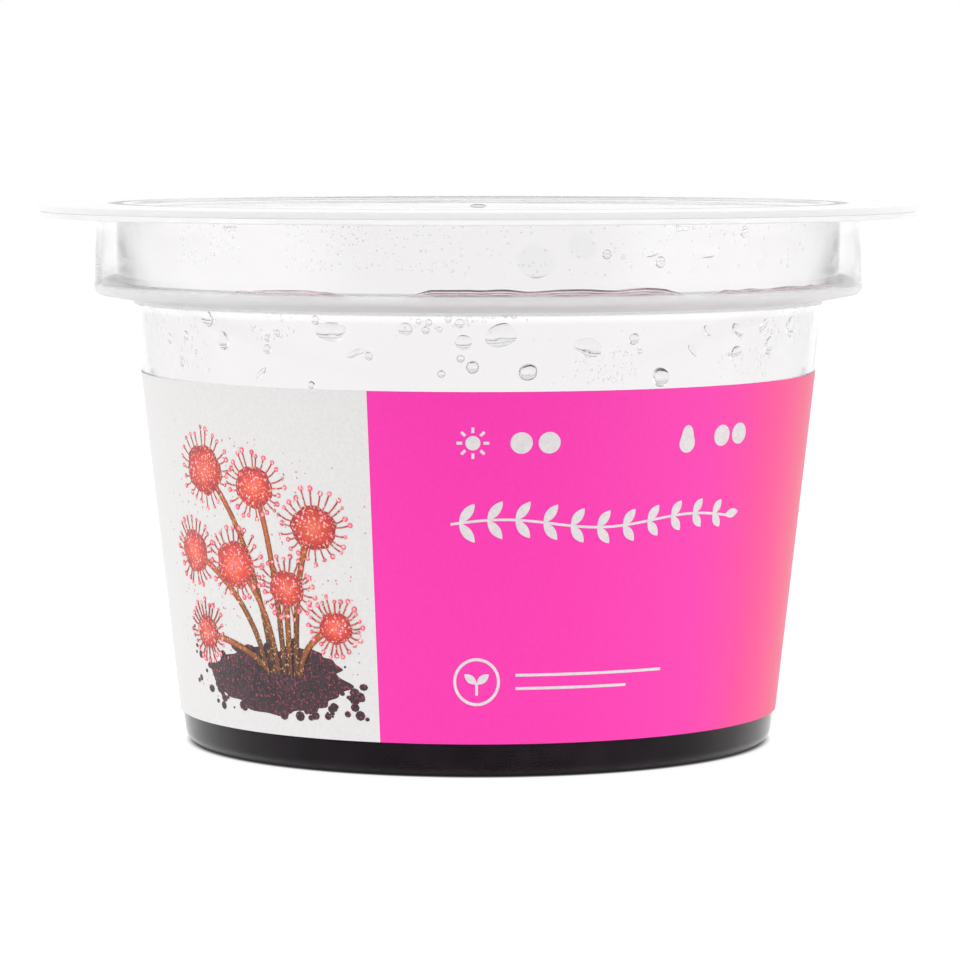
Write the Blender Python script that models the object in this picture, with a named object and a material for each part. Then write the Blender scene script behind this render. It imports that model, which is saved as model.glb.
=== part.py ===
"""Clear lidded culture cup with a printed label, a dark gel and six sundew rosettes growing in it.

Metres, +Z up. The origin is the centre of the ring that the cup stands on, and the front is towards -Y.
"""

import math
import random

import bmesh
import bpy
from mathutils import Matrix, Vector

MM = 0.001

# Turned pieces share one count of sides, so that the facets of neighbours lie parallel.
SEGMENTS = 64
FIT_GAP = 0.3 * MM  # air between two pieces that touch on the real thing

# Cup, moulded in clear plastic
BODY_RADIUS_AT_FLOOR = 36.8 * MM  # outer face of the tapered wall, carried down to the floor
BODY_TAPER = 0.1124  # growth of the radius for each metre of height
WALL = 0.8 * MM
FOOT_FILLET = 1.7 * MM
FOOT_RING_WIDTH = 3.2 * MM  # flat ring that the cup stands on
FOOT_RECESS = 0.5 * MM  # height of the base's middle above that ring
SHOULDER_HEIGHT = 55.2 * MM  # where the tapered wall meets the shoulder's underside
SHOULDER_RISE = 0.7 * MM  # how far the shoulder climbs on its way out to the collar
COLLAR_RADIUS = 47.9 * MM
COLLAR_TAPER = 0.18 * MM  # how much narrower the collar is at its top
COLLAR_FILLET = 1.0 * MM
FLANGE_RADIUS = 54.6 * MM
FLANGE_UNDERSIDE = 65.55 * MM
FLANGE_THICKNESS = 0.7 * MM
EDGE_ROUND = 0.15 * MM

# Lid, moulded in the same clear plastic
LID_RADIUS = 55.0 * MM
LID_THICKNESS = 0.65 * MM
PANEL_RADIUS = 41.5 * MM  # round panel, a little lower than the rim
PANEL_STEP = 0.45 * MM
PANEL_RAMP = 2.4 * MM  # width of the slope from the panel up to the rim
SKIRT_RADIUS = 45.15 * MM
SKIRT_DRAFT = 0.15 * MM
SKIRT_FOOT = 57.1 * MM  # height of the skirt's lower edge

# Label, a band on the tapered wall that leaves the back open
LABEL_FOOT = 4.1 * MM
LABEL_TOP = 46.2 * MM
LABEL_THICKNESS = 0.35 * MM
LABEL_GAP = 0.2 * MM
LABEL_FIRST_SIDE = -17  # sides of the cup, counted from the front, positive towards +X
LABEL_LAST_SIDE = 17

# Dark gel, set in the cup
GEL_DEPTH = 14.0 * MM  # height of its surface above the foot ring
GEL_MENISCUS = 0.7 * MM

# Sundew rosettes
SEED = 11
ROSETTE_LEAVES = 17
GOLDEN_ANGLE = math.radians(137.508)
STEM_RADIUS = 0.9 * MM
STEM_DEPTH = 4.5 * MM
STEM_SIDES = 8
CROWN_RADIUS = 1.5 * MM
CROWN_HEIGHT = 2.3 * MM
CROWN_LIFT = 0.4 * MM  # height above the gel at which the crown widens
OLDEST_LEAF = 11.2 * MM
YOUNGEST_LEAF = 4.4 * MM
LEAF_THICKNESS = 0.65 * MM
MIDDLE_ROSETTE_SCALE = 1.08
RING_ROSETTES = 5
RING_RADIUS = 23.6 * MM

TOP = FLANGE_UNDERSIDE + FLANGE_THICKNESS + FIT_GAP + LID_THICKNESS

# Along a leaf: share of its length, half width and rise in millimetres for a leaf 10 mm long
LEAF_STATIONS = (
    (0.00, 0.50, 0.00),
    (0.46, 0.55, 0.70),
    (0.68, 1.30, 0.68),
    (0.84, 1.65, 0.50),
    (0.95, 1.20, 0.30),
    (1.00, 0.50, 0.22),
)
LEAF_MODEL_LENGTH = 10 * MM


def clear_scene():
    for obj in list(bpy.data.objects):
        bpy.data.objects.remove(obj, do_unlink=True)


def material(name, color, roughness, metallic=0.0, transmission=0.0):
    made = bpy.data.materials.new(name)
    made.use_nodes = True
    shader = made.node_tree.nodes["Principled BSDF"]
    shader.inputs["Base Color"].default_value = (*color, 1)
    shader.inputs["Roughness"].default_value = roughness
    shader.inputs["Metallic"].default_value = metallic
    shader.inputs["Transmission Weight"].default_value = transmission
    return made


def add_object(name, bm, finish):
    """An object from a bmesh, with faces out and round parts shaded smooth."""
    bmesh.ops.recalc_face_normals(bm, faces=bm.faces)
    mesh = bpy.data.meshes.new(name)
    bm.to_mesh(mesh)
    bm.free()
    mesh.shade_smooth()
    mesh.set_sharp_from_angle(angle=math.radians(40))
    mesh.materials.append(finish)
    obj = bpy.data.objects.new(name, mesh)
    bpy.context.scene.collection.objects.link(obj)
    return obj


def arc(center, radius, first, last, steps=3):
    """Points of an arc in a profile, from one angle to another in degrees, 0 pointing outwards and 90 up."""
    points = []
    for i in range(steps + 1):
        angle = math.radians(first + (last - first) * i / steps)
        points.append((center[0] + radius * math.cos(angle), center[1] + radius * math.sin(angle)))
    return points


def turned(profile, sides=SEGMENTS):
    """A closed body turned about Z from a profile of (radius, height) points that starts and ends on the axis."""
    bm = bmesh.new()
    rings = []
    for radius, height in profile:
        if radius == 0:
            rings.append([bm.verts.new((0, 0, height))] * sides)
            continue
        ring = []
        for i in range(sides):
            angle = math.tau * i / sides
            ring.append(bm.verts.new((radius * math.sin(angle), -radius * math.cos(angle), height)))
        rings.append(ring)
    for lower, upper in zip(rings, rings[1:]):
        for i in range(sides):
            j = (i + 1) % sides
            corners = [lower[i], lower[j], upper[j], upper[i]]
            bm.faces.new(list(dict.fromkeys(corners)))
    return bm


def body_radius(height):
    """Outer radius of the tapered wall."""
    return BODY_RADIUS_AT_FLOOR + BODY_TAPER * height


def inner_radius(height):
    """Inner radius of the tapered wall."""
    return body_radius(height) - WALL


def cup_profile():
    floor = FOOT_RECESS + WALL
    contact = body_radius(0) - FOOT_FILLET
    ring_inside = contact - FOOT_RING_WIDTH
    outside = [(0, FOOT_RECESS), (ring_inside - FOOT_RECESS, FOOT_RECESS), (ring_inside, 0)]
    outside += arc((contact, FOOT_FILLET), FOOT_FILLET, -90, -6)
    outside += [(body_radius(SHOULDER_HEIGHT), SHOULDER_HEIGHT)]

    corner = (COLLAR_RADIUS - COLLAR_FILLET, SHOULDER_HEIGHT + SHOULDER_RISE + COLLAR_FILLET)
    outside += arc(corner, COLLAR_FILLET, -80, 0)
    outside += [(COLLAR_RADIUS - COLLAR_TAPER, FLANGE_UNDERSIDE)]

    rim_top = FLANGE_UNDERSIDE + FLANGE_THICKNESS
    outside += [(FLANGE_RADIUS - EDGE_ROUND, FLANGE_UNDERSIDE), (FLANGE_RADIUS, FLANGE_UNDERSIDE + EDGE_ROUND)]
    outside += [(FLANGE_RADIUS, rim_top - EDGE_ROUND), (FLANGE_RADIUS - EDGE_ROUND, rim_top)]

    inner_collar = COLLAR_RADIUS - COLLAR_TAPER - WALL
    inside = [(inner_collar + EDGE_ROUND, rim_top), (inner_collar, rim_top - EDGE_ROUND)]
    inside += arc(corner, COLLAR_FILLET - WALL + EDGE_ROUND, 0, -80, 2)
    step = SHOULDER_HEIGHT + WALL
    inside += [(inner_radius(step) + 2 * EDGE_ROUND, step), (inner_radius(step), step - 2 * EDGE_ROUND)]
    inner_fillet = FOOT_FILLET - WALL + EDGE_ROUND
    inside += arc((inner_radius(floor) - inner_fillet, floor + inner_fillet), inner_fillet, 0, -90)
    return outside + inside + [(0, floor)]


def lid_profile():
    underside = TOP - LID_THICKNESS
    inner_skirt = SKIRT_RADIUS - LID_THICKNESS
    rim = [(0, TOP - PANEL_STEP), (PANEL_RADIUS, TOP - PANEL_STEP), (PANEL_RADIUS + PANEL_RAMP, TOP)]
    rim += [(LID_RADIUS - EDGE_ROUND, TOP), (LID_RADIUS, TOP - EDGE_ROUND)]
    rim += [(LID_RADIUS - EDGE_ROUND, underside + EDGE_ROUND), (LID_RADIUS - 2 * EDGE_ROUND, underside)]
    skirt = [(SKIRT_RADIUS + EDGE_ROUND, underside), (SKIRT_RADIUS, underside - EDGE_ROUND)]
    tip = SKIRT_RADIUS - SKIRT_DRAFT - LID_THICKNESS / 2
    skirt += arc((tip, SKIRT_FOOT + LID_THICKNESS / 2), LID_THICKNESS / 2, 0, -180, 4)
    inside = [(inner_skirt, underside - 2 * EDGE_ROUND), (inner_skirt - 2 * EDGE_ROUND, underside)]
    inside += [(PANEL_RADIUS + PANEL_RAMP, underside), (PANEL_RADIUS, underside - PANEL_STEP)]
    return rim + skirt + inside + [(0, underside - PANEL_STEP)]


def gel_profile():
    floor = FOOT_RECESS + WALL + FIT_GAP
    fillet = FOOT_FILLET - WALL
    edge = GEL_DEPTH + GEL_MENISCUS
    profile = [(0, floor)]
    profile += arc((inner_radius(floor) - FIT_GAP - fillet, floor + fillet), fillet, -90, -6, 2)
    profile += [(inner_radius(edge) - FIT_GAP, edge)]
    profile += [(inner_radius(edge) - FIT_GAP - 0.5 * GEL_MENISCUS, GEL_DEPTH + 0.35 * GEL_MENISCUS)]
    profile += [(inner_radius(edge) - FIT_GAP - 2 * GEL_MENISCUS, GEL_DEPTH), (0, GEL_DEPTH)]
    return profile


def label_band():
    """The band between two heights of the tapered wall, from one side of the cup to another."""
    bm = bmesh.new()
    slices = []
    for side in range(LABEL_FIRST_SIDE, LABEL_LAST_SIDE + 1):
        angle = math.tau * side / SEGMENTS
        across = Vector((math.sin(angle), -math.cos(angle), 0))
        corners = []
        for height, proud in (
            (LABEL_FOOT, LABEL_GAP),
            (LABEL_FOOT, LABEL_GAP + LABEL_THICKNESS),
            (LABEL_TOP, LABEL_GAP + LABEL_THICKNESS),
            (LABEL_TOP, LABEL_GAP),
        ):
            corners.append(bm.verts.new(across * (body_radius(height) + proud) + Vector((0, 0, height))))
        slices.append(corners)
    for here, there in zip(slices, slices[1:]):
        for i in range(4):
            j = (i + 1) % 4
            bm.faces.new((here[i], here[j], there[j], there[i]))
    bm.faces.new(slices[0])
    bm.faces.new(slices[-1])
    return bm


def leaf(length, azimuth, pitch):
    """A spoon-shaped leaf that grows out of the crown's middle, dished on top, 0.65 mm thick."""
    bm = bmesh.new()
    scale = length / LEAF_MODEL_LENGTH
    rings = []
    for share, half_width, rise in LEAF_STATIONS:
        half = half_width * MM * (0.35 + 0.65 * scale)
        dish = 0.22 * half
        center = rise * MM * scale
        ring = []
        for y, lift in ((-half, dish), (0, 0), (half, dish)):
            ring.append(bm.verts.new((share * length, y, center + lift + LEAF_THICKNESS / 2)))
        for y, lift in ((half, dish), (0, 0), (-half, dish)):
            ring.append(bm.verts.new((share * length, y, center + lift - LEAF_THICKNESS / 2)))
        rings.append(ring)
    for here, there in zip(rings, rings[1:]):
        for i in range(6):
            j = (i + 1) % 6
            bm.faces.new((here[i], here[j], there[j]))
            bm.faces.new((here[i], there[j], there[i]))
    for ring in (rings[0], rings[-1]):
        bm.faces.new((ring[0], ring[1], ring[4], ring[5]))
        bm.faces.new((ring[1], ring[2], ring[3], ring[4]))
    turn = Matrix.Rotation(azimuth, 4, "Z") @ Matrix.Rotation(-pitch, 4, "Y")
    bmesh.ops.transform(bm, matrix=turn, verts=bm.verts)
    return bm


def crown():
    """The stem that stands in the gel and the bud that the leaves grow from. Its own zero is the gel's surface."""
    return turned(
        [
            (0, -STEM_DEPTH),
            (0.6 * STEM_RADIUS, -STEM_DEPTH),
            (STEM_RADIUS, -0.6 * STEM_DEPTH),
            (STEM_RADIUS, 0.5 * CROWN_LIFT),
            (CROWN_RADIUS, CROWN_LIFT + 0.2 * CROWN_HEIGHT),
            (0.8 * CROWN_RADIUS, 0.75 * CROWN_HEIGHT),
            (0, CROWN_HEIGHT),
        ],
        STEM_SIDES,
    )


def rosette(name, place, scale, rng, finish):
    """Crown and leaves, oldest lowest and longest, fused into one body."""
    body = add_object(name, crown(), finish)
    leaves = bpy.data.collections.new(name + "_leaves")
    bpy.context.scene.collection.children.link(leaves)
    start = rng.uniform(0, math.tau)
    for k in range(ROSETTE_LEAVES):
        age = k / (ROSETTE_LEAVES - 1)
        length = scale * (OLDEST_LEAF + (YOUNGEST_LEAF - OLDEST_LEAF) * age) * rng.uniform(0.93, 1.05)
        pitch = math.radians(1 + 66 * age**1.6 + rng.uniform(0, 4))
        azimuth = start + k * GOLDEN_ANGLE + rng.uniform(-0.1, 0.1)
        bm = leaf(length, azimuth, pitch)
        bmesh.ops.translate(bm, verts=bm.verts, vec=(0, 0, CROWN_LIFT + (0.2 + 0.35 * age) * CROWN_HEIGHT))
        blade = add_object(f"{name}_leaf_{k}", bm, finish)
        bpy.context.scene.collection.objects.unlink(blade)
        leaves.objects.link(blade)
    fuse(body, leaves)
    body.location = (place[0], place[1], GEL_DEPTH)
    return body


def fuse(body, collection):
    """Joins a collection's solids to a body with one union, applied, and removes them."""
    union = body.modifiers.new("Union", "BOOLEAN")
    union.operation = "UNION"
    union.operand_type = "COLLECTION"
    union.collection = collection
    union.solver = "EXACT"
    bpy.context.view_layer.objects.active = body
    bpy.ops.object.modifier_apply(modifier=union.name)
    for obj in list(collection.objects):
        bpy.data.objects.remove(obj, do_unlink=True)
    bpy.data.collections.remove(collection)


def stem_hole(place):
    """A cutter for the plain hole that a stem stands in."""
    bm = turned(
        [
            (0, GEL_DEPTH - STEM_DEPTH - FIT_GAP),
            (STEM_RADIUS + FIT_GAP, GEL_DEPTH - STEM_DEPTH - FIT_GAP),
            (STEM_RADIUS + FIT_GAP, GEL_DEPTH + 2 * MM),
            (0, GEL_DEPTH + 2 * MM),
        ],
        STEM_SIDES,
    )
    bmesh.ops.translate(bm, verts=bm.verts, vec=(place[0], place[1], 0))
    return bm


def rosette_places():
    """One rosette near the middle and a ring of them round it."""
    places = [(1.0 * MM, -0.5 * MM)]
    for i in range(RING_ROSETTES):
        angle = math.tau * (i + 0.3) / RING_ROSETTES
        places.append((RING_RADIUS * math.cos(angle), RING_RADIUS * math.sin(angle)))
    return places


def build():
    clear_scene()
    clear = material("clear_plastic", (0.92, 0.93, 0.94), 0.06, transmission=1.0)
    paper = material("printed_label", (0.90, 0.06, 0.42), 0.42)
    dark = material("dark_gel", (0.012, 0.010, 0.013), 0.18)
    foliage = material("sundew_leaf", (0.36, 0.12, 0.05), 0.40)

    add_object("cup", turned(cup_profile()), clear)
    add_object("lid", turned(lid_profile()), clear)
    add_object("label", label_band(), paper)

    gel = add_object("growing_medium", turned(gel_profile()), dark)
    holes = bpy.data.collections.new("stem_holes")
    bpy.context.scene.collection.children.link(holes)
    rng = random.Random(SEED)
    for i, place in enumerate(rosette_places()):
        hole = add_object(f"stem_hole_{i + 1}", stem_hole(place), dark)
        bpy.context.scene.collection.objects.unlink(hole)
        holes.objects.link(hole)
        hole.hide_render = True
        hole.display_type = "WIRE"
        scale = MIDDLE_ROSETTE_SCALE if i == 0 else rng.uniform(0.88, 1.0)
        rosette(f"sundew_{i + 1}", place, scale, rng, foliage)
    cut = gel.modifiers.new("Stem holes", "BOOLEAN")
    cut.operation = "DIFFERENCE"
    cut.operand_type = "COLLECTION"
    cut.collection = holes
    cut.solver = "EXACT"


build()
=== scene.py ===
import math
import random

import bmesh
import bpy
from mathutils import Matrix, Vector, noise


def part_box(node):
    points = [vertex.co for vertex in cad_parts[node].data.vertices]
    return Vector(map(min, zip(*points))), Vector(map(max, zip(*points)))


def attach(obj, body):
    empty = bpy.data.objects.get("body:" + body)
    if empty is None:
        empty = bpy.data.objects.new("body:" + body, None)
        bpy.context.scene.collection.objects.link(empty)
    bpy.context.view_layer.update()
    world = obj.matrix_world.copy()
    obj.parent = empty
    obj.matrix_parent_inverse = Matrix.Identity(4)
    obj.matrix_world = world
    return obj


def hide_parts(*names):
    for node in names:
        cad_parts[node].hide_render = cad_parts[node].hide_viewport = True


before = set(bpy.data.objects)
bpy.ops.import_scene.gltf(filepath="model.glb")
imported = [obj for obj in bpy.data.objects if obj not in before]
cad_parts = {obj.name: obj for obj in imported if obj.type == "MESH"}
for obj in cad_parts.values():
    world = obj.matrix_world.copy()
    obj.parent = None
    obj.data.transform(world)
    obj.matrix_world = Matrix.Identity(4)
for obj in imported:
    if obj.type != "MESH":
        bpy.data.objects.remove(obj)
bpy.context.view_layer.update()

MM = 0.001
CUP_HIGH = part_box("cup")[1]
LID_LOW, LID_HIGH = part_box("lid")
GEL_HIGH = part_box("growing_medium")[1]
LABEL_LOW, LABEL_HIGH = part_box("label")

# Photograph, 960 pixels square: the cup's axis, the height of the eye and the scale at the axis
IMAGE = 960
AXIS_X = 478.2
FLOOR_Y = 738.0
EYE_Y = 117.0
MM_PER_PIXEL = 0.12557
FOCAL_PIXELS = 4564.0
SENSOR_MM = 36.0

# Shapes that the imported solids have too, in their own sizes, apart from the thinner foot and base
SIDES = 288
BODY_RADIUS_AT_FLOOR = 36.8 * MM
BODY_TAPER = 0.1124
WALL = 0.8 * MM
FOOT_FILLET = 1.7 * MM
FOOT_RING_WIDTH = 3.2 * MM
FOOT_RECESS = 0.2 * MM
FOOT_WALL = 0.25 * MM  # the wall thins down to this round the foot
FOOT_WALL_HEIGHT = (4.0 * MM, 12.0 * MM)
FOOT_STATIONS = (4, 6, 7.5, 9, 10.5, 12)  # heights in millimetres at which the thinning wall is drawn
BASE = 0.15 * MM
SHOULDER_HEIGHT = 55.2 * MM
SHOULDER_RISE = 0.7 * MM
COLLAR_RADIUS = 47.9 * MM
COLLAR_TAPER = 0.18 * MM
COLLAR_FILLET = 1.0 * MM
FLANGE_THICKNESS = 0.7 * MM
EDGE_ROUND = 0.15 * MM
SEAT_GAP = 0.02 * MM  # between the lid and the flange that it lies on
SEAM_ROUND = 0.03 * MM  # the edges of the two rims that lie on each other
LID_THICKNESS = 0.65 * MM
PANEL_RADIUS = 41.5 * MM
PANEL_STEP = 0.45 * MM
PANEL_RAMP = 2.4 * MM  # width of the slope from the panel up to the rim
RAMP_STEPS = 8
GATE_RADIUS = 1.1 * MM  # the small nub that moulding leaves in the middle of the lid
GATE_HEIGHT = 0.22 * MM
CREASE = 0.05 * MM  # a narrow ring beside each bend keeps the shading of the flat faces flat
SKIRT_RADIUS = 45.15 * MM
SKIRT_DRAFT = 0.15 * MM


def arc(center, radius, first, last, steps=8):
    """Points of an arc in a profile, from one angle to another in degrees, 0 pointing outwards and 90 up."""
    points = []
    for i in range(steps + 1):
        angle = math.radians(first + (last - first) * i / steps)
        points.append((center[0] + radius * math.cos(angle), center[1] + radius * math.sin(angle)))
    return points


def at(radius, azimuth, height):
    """A point at a radius and a height; azimuth is in radians from the front, positive to the right."""
    return Vector((radius * math.sin(azimuth), -radius * math.cos(azimuth), height))


def body_radius(height):
    """Outer radius of the tapered wall."""
    return BODY_RADIUS_AT_FLOOR + BODY_TAPER * height


def inner_radius(height):
    """Inner radius of the tapered wall."""
    low, high = FOOT_WALL_HEIGHT
    share = min(1.0, max(0.0, (height - low) / (high - low)))
    return body_radius(height) - FOOT_WALL - (WALL - FOOT_WALL) * share * share * (3 - 2 * share)


def foot_inside(skin=0.0):
    """The inner corner round the foot from the wall down to the base, moved into the plastic by skin."""
    contact = body_radius(0) - FOOT_FILLET
    ring_inside = contact - FOOT_RING_WIDTH
    floor = FOOT_RECESS + BASE - skin
    corner = arc((contact, FOOT_FILLET), FOOT_FILLET - FOOT_WALL + skin, -6, -90)
    return corner + [(ring_inside + 0.6 * MM, FOOT_WALL - skin), (ring_inside - 0.4 * MM, floor)]


def bridge(bm, rings, capped=False):
    """Faces between neighbouring rings of corners, and over the first and last ring where capped."""
    for here, there in zip(rings, rings[1:]):
        for i in range(len(here)):
            j = (i + 1) % len(here)
            bm.faces.new((here[i], here[j], there[j], there[i]))
    if capped:
        bm.faces.new(rings[0])
        bm.faces.new(rings[-1])


def fan(bm, middle, ring):
    """Triangles from a middle point to a ring of corners."""
    for i in range(len(ring)):
        bm.faces.new((middle, ring[i], ring[(i + 1) % len(ring)]))


def turned(profile):
    """A closed body turned about Z from (radius, height) points that start and end on the axis."""
    bm = bmesh.new()
    rings = [
        [bm.verts.new(at(radius, math.tau * i / SIDES, height)) for i in range(SIDES)]
        for radius, height in profile[1:-1]
    ]
    fan(bm, bm.verts.new((0, 0, profile[0][1])), rings[0])
    bridge(bm, rings)
    fan(bm, bm.verts.new((0, 0, profile[-1][1])), rings[-1])
    return bm


def add_piece(name, bm, finish, nodes=(), smooth_angle=35):
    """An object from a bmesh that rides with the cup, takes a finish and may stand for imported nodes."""
    bmesh.ops.recalc_face_normals(bm, faces=bm.faces)
    mesh = bpy.data.meshes.new(name)
    bm.to_mesh(mesh)
    bm.free()
    mesh.shade_smooth()
    mesh.set_sharp_from_angle(angle=math.radians(smooth_angle))
    mesh.materials.append(finish)
    obj = bpy.data.objects.new(name, mesh)
    bpy.context.scene.collection.objects.link(obj)
    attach(obj, "root")
    if nodes:
        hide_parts(*nodes)
    return obj


def plug(tree, socket, value):
    """Sets an input to a value, or links another node's output to it."""
    if isinstance(value, bpy.types.NodeSocket):
        tree.links.new(value, socket)
    else:
        socket.default_value = value


def new_material(name, **values):
    """A material with a Principled shader and its even values, as (material, node tree, shader)."""
    made = bpy.data.materials.new(name)
    made.use_nodes = True
    shader = made.node_tree.nodes["Principled BSDF"]
    for key, value in values.items():
        shader.inputs[key.replace("_", " ")].default_value = value
    return made, made.node_tree, shader


def node(tree, kind, *inputs, **values):
    """A node with its settings and named inputs by keyword, and its first inputs in their order."""
    made = tree.nodes.new(kind)
    for key, value in values.items():
        label = key.replace("_", " ")
        if label in made.inputs:
            plug(tree, made.inputs[label], value)
        else:
            setattr(made, key, value)
    for socket, value in zip(made.inputs, inputs):
        plug(tree, socket, value)
    return made


def own_place(tree):
    """The shaded point's place in its object."""
    return node(tree, "ShaderNodeTexCoord").outputs["Object"]


def parts(tree, vector):
    """X, Y and Z of a vector, as outputs."""
    return node(tree, "ShaderNodeSeparateXYZ", vector).outputs


def grain(tree, scale, detail=2.0):
    """Soft noise through the object."""
    return node(tree, "ShaderNodeTexNoise", Vector=own_place(tree), Scale=scale, Detail=detail).outputs["Fac"]


def spread(tree, value, start, end, low=0.0, high=1.0):
    """A value between two limits, mapped evenly from one tone to another."""
    return node(tree, "ShaderNodeMapRange", value, low, high, start, end).outputs["Result"]


def fade(tree, value, low, high, start, end):
    """A smooth step of a value between two limits, from one tone to another."""
    made = node(tree, "ShaderNodeMapRange", value, low, high, start, end, interpolation_type="SMOOTHSTEP")
    return made.outputs["Result"]


def combined(tree, operation, *values):
    """A sum, product or other operation on numbers and outputs."""
    return node(tree, "ShaderNodeMath", *values, operation=operation).outputs[0]


def tinted(tree, factor, first, second):
    """Two colours mixed by a factor, each a colour or an output."""
    pair = [(*color, 1) if isinstance(color, tuple) else color for color in (first, second)]
    made = node(tree, "ShaderNodeMix", data_type="RGBA", Factor=factor, A=pair[0], B=pair[1])
    return made.outputs["Result"]


def band(tree, value, rise, fall):
    """One between two smooth edges, each given by its limits, and zero outside."""
    return combined(tree, "MULTIPLY", fade(tree, value, *rise, 0, 1), fade(tree, value, *fall, 1, 0))


def ramped(tree, value, stops):
    """Colours along a value, from stops of place and colour."""
    made = node(tree, "ShaderNodeValToRGB", value)
    elements = made.color_ramp.elements
    for i, (place, color) in enumerate(stops):
        stop = elements[i] if i < 2 else elements.new(place)
        stop.position = place
        stop.color = (*color, 1)
    return made.outputs["Color"]


def scaled(tree, color, share):
    return node(tree, "ShaderNodeVectorMath", color, operation="SCALE", Scale=share).outputs["Vector"]


def blended(tree, factor, first, second):
    """Two tones mixed by a factor."""
    return node(tree, "ShaderNodeMix", data_type="FLOAT", Factor=factor, A=first, B=second).outputs["Result"]


def bumped(tree, shader, height, strength, distance):
    """Roughens a shader's surface by a height."""
    made = node(tree, "ShaderNodeBump", Height=height, Strength=strength, Distance=distance)
    plug(tree, shader.inputs["Normal"], made.outputs["Normal"])


SHOULDER_HAZE = (54.9 * MM, 57.3 * MM)  # the moulding blurs the step under the collar between these heights
RIM_HAZE = (44.0 * MM, 66.1 * MM)  # and the rim beyond this radius and height
RIM_FROST = (46.4 * MM, 65.6 * MM)  # beyond this radius and height the rim is frosted, at its edge most
RIM_EDGE = (54.2 * MM, 54.5 * MM)
RIM_SOFT = (0.8 * MM, 0.3 * MM)  # radius and height over which the rim's haze and frost set in
STEP_ROUGHNESS = 0.32
RIM_ROUGHNESS = 0.24
RIM_CLEAR = (0.75, 0.22)  # clear share of the rim, on its face and at its edge or a grazing view
STEP_CLEAR = 0.45  # clear share of the step


def height_and_radius(tree):
    """Height and distance from the axis of the shaded point, as two outputs."""
    x, y, z = parts(tree, own_place(tree))
    flat = node(tree, "ShaderNodeCombineXYZ", x, y).outputs[0]
    return z, node(tree, "ShaderNodeVectorMath", flat, operation="LENGTH").outputs["Value"]


def clear_plastic(name, wall_tint, step_tint, collar_tint, rim_tint, edge_painted_shade):
    """Clear moulded plastic with a faint ripple, hazy where it bends, tinted for each wall crossed, with
    painted shade where a wall is seen edge on.
    """
    made, tree, shader = new_material(name, IOR=1.49, Specular_Tint=(0.2, 0.2, 0.2, 1))
    height, radius = height_and_radius(tree)
    facing = node(tree, "ShaderNodeLayerWeight", Blend=0.5).outputs["Facing"]
    low, high = SHOULDER_HAZE
    rim_out = fade(tree, radius, RIM_FROST[0] - RIM_SOFT[0], RIM_FROST[0], 0, 1)
    rim_up = fade(tree, height, RIM_FROST[1] - RIM_SOFT[1], RIM_FROST[1], 0, 1)
    rim = combined(tree, "MULTIPLY", rim_out, rim_up)
    step = band(tree, height, (low - 0.3 * MM, low + 0.2 * MM), (high - 0.4 * MM, high + 0.4 * MM))

    # Tint, with painted shade: darker where a wall is seen edge on, and even on the step and the rim
    color = tinted(tree, fade(tree, height, low - 0.8 * MM, low - 0.2 * MM, 0, 1), wall_tint, step_tint)
    color = tinted(tree, fade(tree, height, high, high + 0.8 * MM, 0, 1), color, collar_tint)
    # painted shade: the colour darkens where a wall is seen edge on
    color = scaled(tree, color, fade(tree, facing, 0.60, 1.0, 1.0, edge_painted_shade))
    even = band(tree, height, (low - 1.2 * MM, low - 0.4 * MM), (high - 0.2 * MM, high + 0.6 * MM))
    color = tinted(tree, rim, tinted(tree, even, color, step_tint), rim_tint)
    plug(tree, shader.inputs["Base Color"], color)
    bumped(tree, shader, grain(tree, 70.0), 0.12, 0.0004)

    # Haze: faint and cloudy on the walls, stronger on the step and the rim
    bend_out = fade(tree, radius, RIM_HAZE[0], RIM_HAZE[0] + RIM_SOFT[0], 0, 1)
    bend_up = fade(tree, height, RIM_HAZE[1] - RIM_SOFT[1], RIM_HAZE[1], 0, RIM_ROUGHNESS)
    bend = combined(tree, "MULTIPLY", bend_out, bend_up)
    rough = combined(tree, "MAXIMUM", fade(tree, step, 0.0, 1.0, 0.0, STEP_ROUGHNESS), bend)
    rough = combined(tree, "MAXIMUM", rough, spread(tree, grain(tree, 160.0, 3.0), 0.01, 0.06))
    plug(tree, shader.inputs["Roughness"], rough)

    # Frost: part of the light that meets the step and the rim is scattered
    flat_share = fade(tree, facing, 0.50, 0.85, *RIM_CLEAR)
    rim_share = combined(tree, "MINIMUM", flat_share, fade(tree, radius, *RIM_EDGE, *RIM_CLEAR))
    share = blended(tree, rim, fade(tree, step, 0.0, 1.0, 1.0, STEP_CLEAR), rim_share)
    plug(tree, shader.inputs["Transmission Weight"], share)
    return made


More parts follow.
